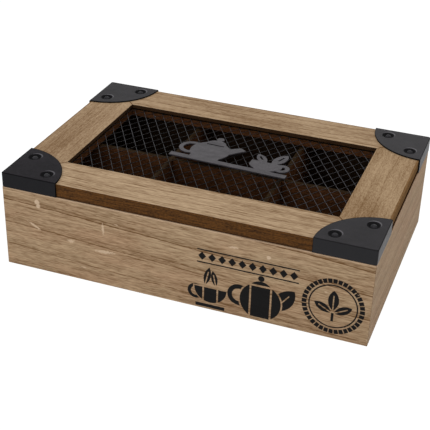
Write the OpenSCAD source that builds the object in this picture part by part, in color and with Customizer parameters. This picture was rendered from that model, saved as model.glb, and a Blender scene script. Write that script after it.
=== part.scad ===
// Tea bag organizer box: a wooden box with six compartments and a hinged, mesh-windowed lid.
// Millimetres. The origin is the middle of the box's underside, +Z is up, +X is to the right,
// and the hinges are at the back, towards +Y.

/* [Box walls] */
// Width of the box, left to right
body_w = 240; // [205:1:300]
// Depth of the box, front to back
body_d = 160; // [140:1:200]
// Height of the box without its lid
body_h = 56; // [45:1:90]
// Thickness of the wall boards
wall_t = 8; // [6:0.5:11]

/* [Bottom board] */
// Thickness of the bottom board
base_t = 3; // [2:0.5:5]
// How far the bottom board is let into the walls
base_lap = 4; // [3:0.5:5]

/* [Dividers] */
// Thickness of the divider boards
divider_t = 3; // [2:0.5:4]
// Clear width of the middle compartments
middle_w = 73; // [55:1:90]
// How far the dividers stop below the walls' top edge
divider_drop = 0.5; // [0.5:0.5:6]
// Depth of the grooves that hold the dividers' ends
groove_depth = 2; // [1:0.5:3]

/* [Lid frame] */
// Thickness of the lid's frame
lid_t = 8.8; // [8:0.2:14]
// Gap between the walls and the closed lid
lid_gap = 0.4; // [0.3:0.1:0.8]
// How far the lid's edge stands back from the front and side walls
lid_inset = 0.8; // [0.4:0.1:1.5]
// Width of the lid's rails
rail_w = 29.5; // [27:0.5:36]
// Thickness of the lip that covers the mesh's edge
lip_t = 2.6; // [2.2:0.1:3.4]
// How far the mesh reaches under the lip
mesh_lap = 6; // [4:0.5:8]
// Chamfer along the inner edge of the strips under the mesh
strip_chamfer = 0.6; // [0.3:0.1:1.2]

/* [Wire mesh] */
// Thickness of a wire
wire_d = 0.4; // [0.3:0.05:1]
// Distance between neighbouring wires, measured square to them
wire_pitch = 6.2; // [4:0.1:12]
// Angle between the wires and the box's front, in degrees
wire_angle = 59; // [40:1:70]

/* [Corner brackets] */
// Reach of a bracket along each edge of the lid
bracket_reach = 38; // [35:0.5:42]
// Thickness of the brackets' sheet steel
sheet_t = 0.8; // [0.5:0.1:1]
// Gap between a bracket and the wood
bracket_gap = 0.2; // [0.1:0.05:0.4]
// Outer radius of the brackets' upright corner
bracket_corner_r = 1.4; // [1.1:0.1:2]
// Radius of the pressed dimple around each nail
dimple_r = 4.1; // [3.4:0.1:4.6]
// Depth of the dimples
dimple_depth = 1.1; // [0.6:0.1:1.4]
// Distance of a nail from the nearer edge of the lid
nail_near = 8; // [7:0.5:10]
// Distance of a nail from the farther edge of the lid
nail_far = 26.5; // [23:0.5:28]
// Radius of the nails' shanks
nail_r = 0.7; // [0.5:0.1:0.9]
// Radius of the nails' domed heads
nail_head_r = 2.2; // [1.6:0.1:2.3]
// Height of the nails' domed heads
nail_head_h = 1.3; // [0.6:0.1:1.4]
// Length of the nails' shanks
nail_length = 6; // [4:0.5:6.5]

/* [Cut-out badge] */
// Length of the badge
badge_w = 81; // [76:1:90]
// Thickness of the badge's sheet steel
badge_t = 1; // [0.6:0.1:1.4]
// Place of the badge's middle, to the right of the lid's middle
badge_x = 5; // [-20:1:20]
// Place of the badge's middle, behind the lid's middle
badge_y = 8; // [-15:1:15]
// Turn of the badge on the mesh, in degrees
badge_turn = -2.5; // [-6:0.5:6]
// Height of the bar that joins the cut-out shapes
badge_bar = 4.5; // [3:0.5:6]
// Radius of the cut-out pot
pot_r = 13.5; // [11:0.5:14]
// Radius of the cut-out cup
cup_r = 11; // [9:0.5:12]
// Length of the cut-out leaves
leaf_l = 18; // [14:0.5:20]

/* [Hinges] */
// Distance of each hinge's middle from the box's side
hinge_inset = 58; // [57:1:75]
// Width of a hinge
hinge_w = 20; // [18:1:24]
// Height of each hinge leaf, from the pin
leaf_h = 7; // [6.6:0.1:7.4]
// Thickness of the leaves
leaf_t = 0.8; // [0.6:0.1:1]
// Outer radius of the knuckles
knuckle_r = 1.6; // [1.5:0.1:2]
// Radius of the hinge pins
pin_r = 0.8; // [0.6:0.05:0.9]
// Widest opening of the lid, in degrees
lid_opening = 105; // [95:1:110]
// Reach of the stop tongue, from the pin
tongue_r = 3.6; // [3.3:0.1:4.5]

/* [Screws and brads] */
// Distance of the hinge screws from the pin
screw_rise = 4.5; // [4.1:0.1:4.8]
// Distance between the two screws of a leaf
screw_spacing = 12; // [11:0.5:13]
// Radius of the screws' shanks
screw_r = 0.8; // [0.6:0.1:1]
// Radius of the screws' heads
screw_head_r = 1.5; // [1.3:0.1:1.7]
// Height of the screws' heads
screw_head_h = 0.7; // [0.5:0.1:0.9]
// Length of the cross cut into the screws' heads
recess_l = 1.5; // [1:0.1:1.7]
// Width of that cross's slots
recess_w = 0.4; // [0.3:0.05:0.5]
// Length of the screws' shanks
screw_length = 5.5; // [4:0.5:5.5]
// Radius of the headless brads
brad_r = 0.5; // [0.4:0.1:0.6]
// Length of the brads in the bottom board
base_brad_length = 14; // [10:1:20]
// Length of the brads in the strips under the mesh
strip_brad_length = 12; // [10:1:14]

/* [Fits] */
// Clearance in glued and slotted joints
joint_gap = 0.1; // [0.05:0.05:0.2]
// Clearance around nails, screws and brads
shank_gap = 0.05; // [0.05:0.01:0.1]
// Clearance between a hinge pin and its knuckles
pin_gap = 0.05; // [0.03:0.01:0.08]
// Clearance between moving parts
run_gap = 0.3; // [0.3:0.05:0.4]

/* [Hidden] */
$fn = 48;
over = 1; // how far a cutting shape runs past what it cuts

// Colours
pale_wood = [0.62, 0.50, 0.37];
dark_wood = [0.22, 0.13, 0.07];
black_steel = [0.16, 0.16, 0.17];
grey_steel = [0.38, 0.37, 0.39];
bright_steel = [0.62, 0.61, 0.60];

// Box
divider_top = body_h - divider_drop;
groove_w = divider_t + 2 * joint_gap;
divider_x = middle_w / 2 + joint_gap + divider_t / 2;
base_w = body_w - 2 * (wall_t - base_lap + joint_gap);
base_d = body_d - 2 * (wall_t - base_lap + joint_gap);
side_cell_x = (divider_x + body_w / 2 - wall_t) / 2; // middle of a side column of compartments
cell_y = (body_d / 2 - wall_t) / 2; // middle of a row of compartments
brad_inset = wall_t - base_lap / 2; // from a wall's outer face to the row of bottom brads

// Lid: it stands back from the front and side walls and is flush with the back wall
lid_w = body_w - 2 * lid_inset;
lid_d = body_d - lid_inset;
lid_y = lid_inset / 2;
lid_z = body_h + lid_gap;
window_w = lid_w - 2 * rail_w;
window_d = lid_d - 2 * rail_w;
rebate_w = mesh_lap + 5 * joint_gap; // the wood under the lip is cut back a little further than the mesh
mesh_top = lid_t - lip_t - joint_gap; // above the lid's underside
mesh_bottom = mesh_top - 2 * wire_d - joint_gap;
strip_h = mesh_bottom - joint_gap;
strip_brad_z = strip_h / 2;

// Brackets
bracket_lap = sheet_t + bracket_gap; // from the lid's edge to the bracket's outer face
bracket_h = lid_t + bracket_lap;
dimple_floor_r = nail_head_r + 0.3;
nail_seat = lid_t + bracket_gap - dimple_depth + sheet_t; // underside of a nail's head

// Hinges
hinge_x = body_w / 2 - hinge_inset;
barrel_y = knuckle_r + run_gap; // from the back face to the pin's axis
barrel_z = body_h + lid_gap / 2;
leaf_start = knuckle_r + run_gap; // where a leaf's plate begins, clear of the other leaf's knuckles
knuckle_gap = run_gap / 2;
knuckle_l = (hinge_w - 2 * knuckle_gap) / 3;
pin_head_h = 0.5;
pin_head_r = pin_r + 0.4;
tongue_space = barrel_y - leaf_t - run_gap;
tongue_lead = atan(leaf_t / 2 / tongue_r);
tongue_reach = sqrt(pow(tongue_r, 2) + pow(leaf_t / 2, 2));
tongue_angle = 180 + asin(tongue_space / tongue_reach) - tongue_lead - lid_opening;

// A board in plan: its outer edge lies on the X axis and both ends are mitred
module mitred_outline(length, width) {
    half = length / 2 - joint_gap;
    polygon([[-half, 0], [half, 0], [half - width, width], [width - half, width]]);
}

// Moves a shape from the X axis to one side of a frame: 0 front, 1 right, 2 back, 3 left
module on_side(side, width, depth) {
    reach = side % 2 == 0 ? depth / 2 : width / 2;
    rotate([0, 0, 90 * side])
        translate([0, -reach, 0])
            children();
}

function side_length(side, width, depth) = side % 2 == 0 ? width : depth;

// Evenly spaced places along a length, with the first and last ones at margin from its ends
function spread(length, margin, count) =
    [for (i = [0 : count - 1]) -length / 2 + margin + i * (length - 2 * margin) / (count - 1)];

// Box walls

// One brad goes up into the wall at the middle of each compartment's edge
module base_brad_places(side) {
    places = side % 2 == 0 ? [-side_cell_x, 0, side_cell_x] : [-cell_y, cell_y];
    for (x = places) translate([x, brad_inset, 0]) children();
}

module wall(side, grooves) {
    length = side_length(side, body_w, body_d);
    on_side(side, body_w, body_d)
        difference() {
            linear_extrude(body_h) mitred_outline(length, wall_t);
            translate([-length / 2, wall_t - base_lap, -over])
                cube([length, base_lap + over, base_t + joint_gap + over]);
            for (x = grooves)
                translate([x - groove_w / 2, wall_t - groove_depth, 0])
                    cube([groove_w, groove_depth + over, body_h + over]);
            base_brad_places(side)
                cylinder(r = brad_r + shank_gap, h = base_brad_length + joint_gap);
            if (side == 2) hinge_screw_bores(barrel_z - screw_rise);
        }
}

module front_panel() color(pale_wood) wall(0, [-divider_x, divider_x]);

module back_panel() color(pale_wood) wall(2, [-divider_x, divider_x]);

module left_panel() color(pale_wood) wall(3, [0]);

module right_panel() color(pale_wood) wall(1, [0]);

module base_panel() {
    color(dark_wood)
        difference() {
            translate([-base_w / 2, -base_d / 2, 0]) cube([base_w, base_d, base_t]);
            for (side = [0 : 3])
                on_side(side, body_w, body_d)
                    base_brad_places(side)
                        translate([0, 0, -over])
                            cylinder(r = brad_r + shank_gap, h = base_t + 2 * over);
        }
}

module base_brads() {
    color(bright_steel)
        for (side = [0 : 3])
            on_side(side, body_w, body_d)
                base_brad_places(side)
                    cylinder(r = brad_r, h = base_brad_length);
}

// Dividers, halved into each other where they cross

divider_z = base_t + joint_gap;
divider_h = divider_top - divider_z;
halving_z = divider_z + divider_h / 2;

module divider_board(length) {
    translate([-length / 2, -divider_t / 2, divider_z]) cube([length, divider_t, divider_h]);
}

module long_divider() {
    length = body_w - 2 * (wall_t - groove_depth + joint_gap);
    color(dark_wood)
        difference() {
            divider_board(length);
            for (x = [-divider_x, divider_x])
                translate([x - groove_w / 2, -divider_t, halving_z - joint_gap])
                    cube([groove_w, 2 * divider_t, divider_h]);
        }
}

module cross_divider(x) {
    length = body_d - 2 * (wall_t - groove_depth + joint_gap);
    color(dark_wood)
        translate([x, 0, 0])
            rotate([0, 0, 90])
                difference() {
                    divider_board(length);
                    translate([-groove_w / 2, -divider_t, divider_z - over])
                        cube([groove_w, 2 * divider_t, divider_h / 2 + over]);
                }
}

module left_divider() cross_divider(-divider_x);

module right_divider() cross_divider(divider_x);

// Lid frame: mitred rails, with the mesh let in under a lip and held by strips

strip_brads_per_side = [3, 2, 3, 2];
strip_brad_margin = 18;
strip_brad_sink = 0.2;

// Brads run outwards, from just under a strip's inner face
module strip_brad_places(side) {
    length = side_length(side, window_w, window_d);
    for (x = spread(length, strip_brad_margin, strip_brads_per_side[side]))
        translate([x, rail_w - strip_brad_sink, strip_brad_z])
            rotate([90, 0, 0]) children();
}

module nail_places(length) {
    for (x = [nail_far - length / 2, length / 2 - nail_far])
        translate([x, nail_near, 0]) children();
}

module rail(side) {
    length = side_length(side, lid_w, lid_d);
    translate([0, lid_y, lid_z])
        on_side(side, lid_w, lid_d)
            difference() {
                linear_extrude(lid_t) mitred_outline(length, rail_w);
                translate([-length / 2, rail_w - rebate_w, -over])
                    cube([length, rebate_w + over, lid_t - lip_t + over]);
                nail_places(length) nail_pocket();
                strip_brad_places(side)
                    cylinder(r = brad_r + shank_gap, h = strip_brad_length + joint_gap);
                if (side == 2) hinge_screw_bores(barrel_z + screw_rise - lid_z);
            }
}

// The hollow of a dimple, grown by a margin all round, with its floor at z = 0
module dish(margin) {
    flare = (dimple_r - dimple_floor_r) / dimple_depth;
    height = dimple_depth + over;
    cylinder(r1 = dimple_floor_r + margin, r2 = dimple_floor_r + margin + flare * height, h = height);
}

// The space in the wood for a bracket's dimple and its nail
module nail_pocket() {
    translate([0, 0, lid_t + bracket_gap - dimple_depth - joint_gap]) dish(sheet_t / 2 + joint_gap);
    translate([0, 0, nail_seat - nail_length - joint_gap])
        cylinder(r = nail_r + shank_gap, h = nail_length);
}

module lid_front_rail() color(pale_wood) rail(0);

module lid_back_rail() color(pale_wood) rail(2);

module lid_left_rail() color(pale_wood) rail(3);

module lid_right_rail() color(pale_wood) rail(1);

// A strip under the mesh. Its section has a chamfered lower inner edge
module mesh_strip(side) {
    length = side_length(side, lid_w, lid_d);
    outer = rail_w - rebate_w + joint_gap;
    translate([0, lid_y, lid_z])
        on_side(side, lid_w, lid_d)
            difference() {
                linear_extrude(strip_h)
                    intersection() {
                        mitred_outline(length, rail_w);
                        translate([-length / 2, outer]) square([length, rail_w]);
                    }
                translate([0, rail_w, 0])
                    rotate([45, 0, 0])
                        cube([length, strip_chamfer * sqrt(2), strip_chamfer * sqrt(2)],
                             center = true);
                strip_brad_places(side)
                    translate([0, 0, -over])
                        cylinder(r = brad_r + shank_gap, h = strip_brad_length + over);
            }
}

module mesh_front_strip() color(dark_wood) mesh_strip(0);

module mesh_back_strip() color(dark_wood) mesh_strip(2);

module mesh_left_strip() color(dark_wood) mesh_strip(3);

module mesh_right_strip() color(dark_wood) mesh_strip(1);

module mesh_strip_brads() {
    color(bright_steel)
        translate([0, lid_y, lid_z])
            for (side = [0 : 3])
                on_side(side, lid_w, lid_d)
                    strip_brad_places(side)
                        cylinder(r = brad_r, h = strip_brad_length);
}

// Wire mesh: two layers of straight wires, each clipped to the mesh's rectangle

mesh_half = [window_w / 2 + mesh_lap, window_d / 2 + mesh_lap];
shortest_wire = 4;

// The stretch of the line c * n + t * d that lies within the mesh, on one axis
function span_on_axis(c, n, d, half) =
    let (a = (-half - c * n) / d, b = (half - c * n) / d)
    [min(a, b), max(a, b)];

function wire_span(c, n, d) =
    let (x = span_on_axis(c, n[0], d[0], mesh_half[0]),
         y = span_on_axis(c, n[1], d[1], mesh_half[1]))
    [max(x[0], y[0]), min(x[1], y[1])];

module wires(angle, z) {
    d = [cos(angle), sin(angle)];
    n = [-sin(angle), cos(angle)];
    count = ceil(norm(mesh_half) / wire_pitch);
    for (i = [-count : count]) {
        c = i * wire_pitch;
        span = wire_span(c, n, d);
        if (span[1] - span[0] > shortest_wire)
            translate([c * n[0] + span[0] * d[0], c * n[1] + span[0] * d[1], z])
                rotate([0, 90, angle])
                    cylinder(d = wire_d, h = span[1] - span[0]);
    }
}

module mesh_rising_wires() {
    color(bright_steel)
        translate([0, lid_y, lid_z]) wires(wire_angle, mesh_bottom + wire_d / 2);
}

module mesh_falling_wires() {
    color(bright_steel)
        translate([0, lid_y, lid_z]) wires(-wire_angle, mesh_top - wire_d / 2);
}

// Badge: a pot, and a cup with two leaves, cut from one sheet and joined by a bar

stroke = 3; // width of the badge's handles
badge_foot = -19.5; // lower edge of the bar, from the badge's middle
bar_top = badge_foot + badge_bar;
bar_end = 1; // from the outermost shapes to the bar's ends
foot_h = 3; // height of the pot's and the cup's feet, with their roots in the bar
slot_h = 1.2; // height of the slit under the pot's lid
midrib_w = 1.2; // width of the slits along the leaves
leaf_root = 2; // depth of the leaves' roots in the cup
handle_r = pot_r * 0.62;
pot_x = bar_end + handle_r + pot_r - badge_w / 2;
pot_y = bar_top + pot_r * 0.85;
lid_line = pot_y + pot_r * 0.68;
ear_r = cup_r * 0.48;
cup_x = badge_w / 2 - bar_end - ear_r - cup_r;
cup_y = bar_top + cup_r + 1;

module ring(radius) {
    difference() {
        circle(radius);
        circle(radius - stroke);
    }
}

// A pointed leaf along +X from the origin, slit along its midrib
module leaf(length) {
    half_width = length * 0.22;
    radius = (pow(length / 2, 2) + pow(half_width, 2)) / (2 * half_width);
    difference() {
        translate([length / 2, 0])
            intersection() {
                translate([0, half_width - radius]) circle(radius, $fn = 96);
                translate([0, radius - half_width]) circle(radius, $fn = 96);
            }
        translate([length * 0.4, -midrib_w / 2]) square([length * 0.35, midrib_w]);
    }
}

module pot() {
    difference() {
        union() {
            translate([pot_x, pot_y]) circle(pot_r);
            translate([pot_x - pot_r * 0.75, bar_top - over]) square([pot_r * 1.5, foot_h]);
            translate([pot_x, lid_line]) circle(pot_r * 0.55);
            translate([pot_x, lid_line + pot_r * 0.7]) circle(pot_r * 0.19);
            translate([pot_x - pot_r, pot_y]) ring(handle_r);
            polygon([[pot_x + pot_r * 0.5, pot_y - pot_r * 0.6],
                     [pot_x + pot_r * 1.62, pot_y + pot_r * 0.72],
                     [pot_x + pot_r * 1.28, pot_y + pot_r * 0.92],
                     [pot_x + pot_r * 0.5, pot_y + pot_r * 0.35]]);
        }
        translate([pot_x - pot_r * 0.45, lid_line - slot_h / 2]) square([pot_r * 0.9, slot_h]);
    }
}

module cup() {
    translate([cup_x, cup_y]) {
        intersection() {
            circle(cup_r + 1.5);
            translate([-cup_r, -cup_r - 1.5]) square([2 * cup_r, cup_r + 1.5]);
        }
        translate([-cup_r * 0.5, -cup_r - 2]) square([cup_r, foot_h]);
        translate([cup_r, -cup_r * 0.42]) ring(ear_r);
        translate([cup_r * 0.3, -leaf_root]) rotate(72) leaf(leaf_l);
        translate([-cup_r * 0.1, -leaf_root]) rotate(128) leaf(leaf_l * 0.8);
    }
}

module badge_outline() {
    translate([-badge_w / 2, badge_foot]) square([badge_w, badge_bar]);
    pot();
    cup();
}

module badge_plate() {
    color(grey_steel)
        translate([badge_x, lid_y + badge_y, lid_z + mesh_top + joint_gap / 2])
            rotate([0, 0, badge_turn])
                linear_extrude(badge_t) badge_outline();
}

// Corner brackets: a quarter-round plate with two folded-down flanges.
// Local origin at the plate's outer corner, reaching towards +X and +Y, z from the lid's underside

module rounded_corner_square(size, radius) {
    translate([radius, radius]) circle(radius);
    translate([radius, 0]) square([size - radius, size]);
    translate([0, radius]) square([size, size - radius]);
}

module bracket_nail_places() {
    for (place = [[nail_near, nail_far], [nail_far, nail_near]])
        translate([place[0] + bracket_lap, place[1] + bracket_lap, 0]) children();
}

module bracket() {
    plate_z = lid_t + bracket_gap;
    difference() {
        union() {
            translate([0, 0, plate_z])
                linear_extrude(sheet_t)
                    intersection() {
                        circle(bracket_reach, $fn = 96);
                        rounded_corner_square(bracket_reach, bracket_corner_r);
                    }
            linear_extrude(bracket_h)
                difference() {
                    rounded_corner_square(bracket_reach, bracket_corner_r);
                    translate([sheet_t, sheet_t]) square(bracket_reach);
                }
            bracket_nail_places()
                translate([0, 0, plate_z - dimple_depth])
                    cylinder(r1 = dimple_floor_r + sheet_t / 2, r2 = dimple_r + sheet_t / 2,
                             h = dimple_depth + sheet_t / 2);
        }
        bracket_nail_places() {
            translate([0, 0, nail_seat]) dish(0);
            cylinder(r = nail_r + shank_gap, h = bracket_h);
        }
    }
}

// Puts a bracket-shaped thing on a corner: right is -1 or 1, back is -1 or 1
module at_corner(right, back) {
    translate([right * (lid_w / 2 + bracket_lap), lid_y + back * (lid_d / 2 + bracket_lap), lid_z])
        mirror([right > 0 ? 1 : 0, 0, 0])
            mirror([0, back > 0 ? 1 : 0, 0])
                children();
}

module front_left_bracket() color(black_steel) at_corner(-1, -1) bracket();

module front_right_bracket() color(black_steel) at_corner(1, -1) bracket();

module back_left_bracket() color(black_steel) at_corner(-1, 1) bracket();

module back_right_bracket() color(black_steel) at_corner(1, 1) bracket();

// A nail with a domed head, its head's underside at z = 0
module nail() {
    dome_r = (pow(nail_head_r, 2) + pow(nail_head_h, 2)) / (2 * nail_head_h);
    intersection() {
        translate([0, 0, nail_head_h - dome_r]) sphere(dome_r);
        cylinder(r = nail_head_r + over, h = nail_head_h + over);
    }
    translate([0, 0, -nail_length]) cylinder(r = nail_r, h = nail_length + nail_head_h / 2);
}

module bracket_nails() {
    color(black_steel)
        for (right = [-1, 1], back = [-1, 1])
            at_corner(right, back)
                bracket_nail_places()
                    translate([0, 0, nail_seat]) nail();
}

// Hinges. Local origin on the pin's axis, which is the X axis; the wood's back face is at
// y = -barrel_y, and z is up

module at_hinge(x) {
    translate([x, body_d / 2 + barrel_y, barrel_z]) children();
}

module along_x() rotate([0, 90, 0]) children();

// up is 1 for the lid's leaf and -1 for the body's; own lists its knuckles, 0 to 2
module hinge_leaf(up, own) {
    plate_z = up > 0 ? leaf_start : -leaf_h;
    strap_z = up > 0 ? 0 : -leaf_start - joint_gap;
    difference() {
        union() {
            translate([-hinge_w / 2, -barrel_y, plate_z])
                cube([hinge_w, leaf_t, leaf_h - leaf_start]);
            for (k = own)
                translate([k * (knuckle_l + knuckle_gap) - hinge_w / 2, 0, 0]) {
                    along_x() cylinder(r = knuckle_r, h = knuckle_l);
                    translate([0, -barrel_y, strap_z])
                        cube([knuckle_l, leaf_t, leaf_start + joint_gap]);
                }
            if (up > 0) stop_tongue();
        }
        along_x() cylinder(r = pin_r + pin_gap, h = hinge_w + 2 * over, center = true);
        for (x = [-screw_spacing / 2, screw_spacing / 2])
            translate([x, 2 * over - barrel_y, up * screw_rise])
                rotate([90, 0, 0]) cylinder(r = screw_r + shank_gap, h = 3 * over);
    }
}

// Stops the lid: it swings down with the lid's leaf and meets the body's leaf
module stop_tongue() {
    rotate([-tongue_angle, 0, 0])
        translate([-knuckle_l / 2, -leaf_t / 2, pin_r + pin_gap])
            cube([knuckle_l, leaf_t, tongue_r - pin_r - pin_gap]);
}

module left_hinge_body_leaf() color(bright_steel) at_hinge(-hinge_x) hinge_leaf(-1, [0, 2]);

module right_hinge_body_leaf() color(bright_steel) at_hinge(hinge_x) hinge_leaf(-1, [0, 2]);

module left_hinge_lid_leaf() color(bright_steel) at_hinge(-hinge_x) hinge_leaf(1, [1]);

module right_hinge_lid_leaf() color(bright_steel) at_hinge(hinge_x) hinge_leaf(1, [1]);

module hinge_pin() {
    head_x = hinge_w / 2 + joint_gap;
    along_x() cylinder(r = pin_r, h = 2 * head_x, center = true);
    for (turn = [0, 180])
        rotate([0, 0, turn])
            translate([head_x, 0, 0]) along_x() cylinder(r = pin_head_r, h = pin_head_h);
}

module left_hinge_pin() color(bright_steel) at_hinge(-hinge_x) hinge_pin();

module right_hinge_pin() color(bright_steel) at_hinge(hinge_x) hinge_pin();

// Screws lie along Y, with their heads outside the leaf
module screw() {
    rotate([90, 0, 0])
        difference() {
            union() {
                cylinder(r = screw_r, h = screw_length);
                translate([0, 0, -screw_head_h])
                    cylinder(r1 = screw_head_r * 0.6, r2 = screw_head_r, h = screw_head_h);
            }
            for (turn = [0, 90])
                rotate([0, 0, turn])
                    translate([-recess_l / 2, -recess_w / 2, -screw_head_h - over])
                        cube([recess_l, recess_w, screw_head_h * 0.7 + over]);
        }
}

module hinge_screws(up) {
    for (hinge = [-hinge_x, hinge_x], x = [-screw_spacing / 2, screw_spacing / 2])
        translate([hinge + x, body_d / 2 + leaf_t, barrel_z + up * screw_rise]) screw();
}

module hinge_body_screws() color(bright_steel) hinge_screws(-1);

module hinge_lid_screws() color(bright_steel) hinge_screws(1);

// Screw holes in a back board's outer face, at a height above the board's underside
module hinge_screw_bores(height) {
    for (hinge = [-hinge_x, hinge_x], x = [-screw_spacing / 2, screw_spacing / 2])
        translate([hinge + x, -over, height])
            rotate([-90, 0, 0])
                cylinder(r = screw_r + shank_gap, h = screw_length - leaf_t + over + joint_gap);
}

front_panel();
back_panel();
left_panel();
right_panel();
base_panel();
base_brads();
long_divider();
left_divider();
right_divider();
left_hinge_body_leaf();
right_hinge_body_leaf();
left_hinge_pin();
right_hinge_pin();
hinge_body_screws();
lid_front_rail();
lid_back_rail();
lid_left_rail();
lid_right_rail();
mesh_front_strip();
mesh_back_strip();
mesh_left_strip();
mesh_right_strip();
mesh_strip_brads();
mesh_rising_wires();
mesh_falling_wires();
badge_plate();
front_left_bracket();
front_right_bracket();
back_left_bracket();
back_right_bracket();
bracket_nails();
left_hinge_lid_leaf();
right_hinge_lid_leaf();
hinge_lid_screws();
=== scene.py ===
"""Looks of the tea bag organizer box: eased and grained boards, a woven mesh, pressed brackets,
a cut-out badge, screwed hinges and a worn ink print on the front."""
import math

import bmesh
import bpy
from mathutils import Matrix, Vector


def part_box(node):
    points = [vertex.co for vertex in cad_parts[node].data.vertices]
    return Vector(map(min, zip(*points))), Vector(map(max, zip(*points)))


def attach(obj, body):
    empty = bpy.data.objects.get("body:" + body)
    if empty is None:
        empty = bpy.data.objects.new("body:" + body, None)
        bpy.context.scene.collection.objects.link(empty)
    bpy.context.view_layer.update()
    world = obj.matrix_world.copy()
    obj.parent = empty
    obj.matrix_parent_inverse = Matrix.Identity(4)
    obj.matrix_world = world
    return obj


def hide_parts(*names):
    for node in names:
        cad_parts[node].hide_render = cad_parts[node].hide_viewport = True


MM = 0.001  # one millimetre, in metres

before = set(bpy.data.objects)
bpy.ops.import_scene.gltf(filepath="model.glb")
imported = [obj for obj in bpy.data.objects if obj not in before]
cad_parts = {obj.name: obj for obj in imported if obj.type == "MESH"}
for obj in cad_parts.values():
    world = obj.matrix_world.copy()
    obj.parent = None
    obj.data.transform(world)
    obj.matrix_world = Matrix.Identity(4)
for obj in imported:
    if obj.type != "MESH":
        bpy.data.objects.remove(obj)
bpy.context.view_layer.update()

# Camera
CAMERA_AIM = Vector((2.4, -23.3, 33.0)) * MM
CAMERA_DISTANCE = 675.5 * MM
CAMERA_AZIMUTH = math.radians(19.6)
CAMERA_ELEVATION = math.radians(29.7)
CAMERA_ROLL = math.radians(1.75)
CAMERA_LENS = 86.9  # millimetres, as the sensor is
SENSOR_WIDTH = 36

# Light
SKY_LIGHT = 0.55
FLOOR_SHADE = 0.1  # share of the floor's own light and shadow that the camera sees
FLOOR_GLOW = 1.1  # keeps the floor white where no shadow falls
FLOOR_SIZE = 6.0

# Boards
BOARD_EASE = 0.35 * MM  # rounding along the boards' edges
DIVIDER_EASE = 0.25 * MM
STRIP_EASE = 0.2 * MM
BADGE_EASE = 0.2 * MM

# Edges
SAME_POINT = 0.001 * MM  # points nearer than this are one
TOUCHING = 0.01 * MM  # points nearer than this to a face are on it
FLAT_ANGLE = math.radians(0.5)  # faces that bend less are one
EASED_ANGLE = math.radians(30)  # edges that bend more are rounded
CRISP_ANGLE = math.radians(32)  # edges that bend more aren't shaded smooth
SPLIT_ANGLE = math.radians(35)  # the same on turned and pressed pieces of the frame
RIM_ANGLE = math.radians(20)  # edges that bend more may be a dimple's rim

# Mesh
WIRE_R = 0.2 * MM
WIRE_PITCH = 6.2 * MM
WIRE_ANGLE = math.radians(59)
WIRE_CRIMP = 0.55  # how far a wire bends at a crossing, as a share of its radius
SHORTEST_WIRE = 4 * MM  # shorter ones fall out of the corners
DIMMEST_WIRES = (-15, -42, 20)  # x, y and radius of the darkest wires, in millimetres
DIMMING_REACH = 82  # from there to the bright ones
DIMMEST_LEVEL = 0.3  # brightness of the darkest wires, as a share of the others'
COLOUR_CHANGE = 60 * MM  # the wires change colour from this far left to this far right

# Brackets
FOLD_R = 1.2 * MM
DIMPLE_RIM_R = 0.8 * MM
SHEET_EDGE_R = 0.12 * MM
FOLD_WIDTH = 2 * MM  # an edge this near the outer corner belongs to a fold
FLAT_MARGIN = 3 * MM  # the dimples' rims are farther in than this from the folds
ARC_MARGIN = 0.5 * MM  # and farther in than this from the plate's arc
DIMPLE_R = 4.1  # millimetres, as the nails' places are
NAIL_NEAR = 8.0  # from the nearer edge of the lid
NAIL_FAR = 26.5  # from the farther edge of the lid
HIGHLIGHT_SHIFT = Vector((0.4, 1.0, 0))  # of the painted highlight on the rim behind a dimple
SHADE_SHIFT = Vector((0, -0.7, 0))  # of the painted shade on the near side of a dimple

# Brackets by name: to the right or left, to the back or front, how light the paint is, its gloss;
# lightness and gloss differ per corner as painted light and shade
CORNERS = (("front_left", -1, -1, 22, 0.03), ("front_right", 1, -1, 20, 0.12),
           ("back_left", -1, 1, 18, 0.1), ("back_right", 1, 1, 20, 0.14))

inner_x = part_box("right_panel")[0].x
inner_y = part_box("back_panel")[0].y
wall_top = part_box("front_panel")[1].z
lid_front_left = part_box("lid_front_rail")[0]
lid_back_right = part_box("lid_back_rail")[1]
bracket_lowest, bracket_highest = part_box("front_left_bracket")

# Wood, in millimetres
RING_LINE = 1.0  # width of a growth ring's dark line
STEADY = 0.55  # how dark the faintest growth ring is, as a share of the darkest
RAIL_BOTTOM = lid_front_left.z / MM
RAIL_MIDDLE = 20  # farther in from the lid's edge than this is a rail's inner edge
MITRE_LINE = 0.7, 0.2  # from a mitre, where its dark line starts and is full

# Growth rings: the gap between them, how far they wander, their lean, and the place of one
WALL_RINGS = 16.5, 1.6, -0.055, 41.0
RAIL_RINGS = 7.5, 4.0, 0.0, 0.0
INSIDE_RINGS = 6.0, 1.5, 0.0, 0.0

# Figure of a board: depth of its rings, its fibres and its short streaks, and the fibres' length
BOARD_FIGURE = 0.58, 0.23, 0.47, 17
SIDE_BOARD_FIGURE = 0.25, 0.14, 0.25, 13
FRONT_RAIL_FIGURE = 0.4, 0.24, 0.45, 16
BACK_RAIL_FIGURE = 0.35, 0.2, 0.3, 10
LEFT_RAIL_FIGURE = 0.13, 0.15, 0.3, 7
RIGHT_RAIL_FIGURE = 0.1, 0.12, 0.3, 6
INSIDE_FIGURE = 0.4, 0.3, 0.4, 9

# Print, in millimetres on the front board: x and height of each part's middle
CUP_PLACE = 21.0, 11.0
POT_PLACE = 53.0, 14.0
BAND_PLACE = 44.0, 37.5
SEAL_PLACE = 97.5, 22.5


# Materials

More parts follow.
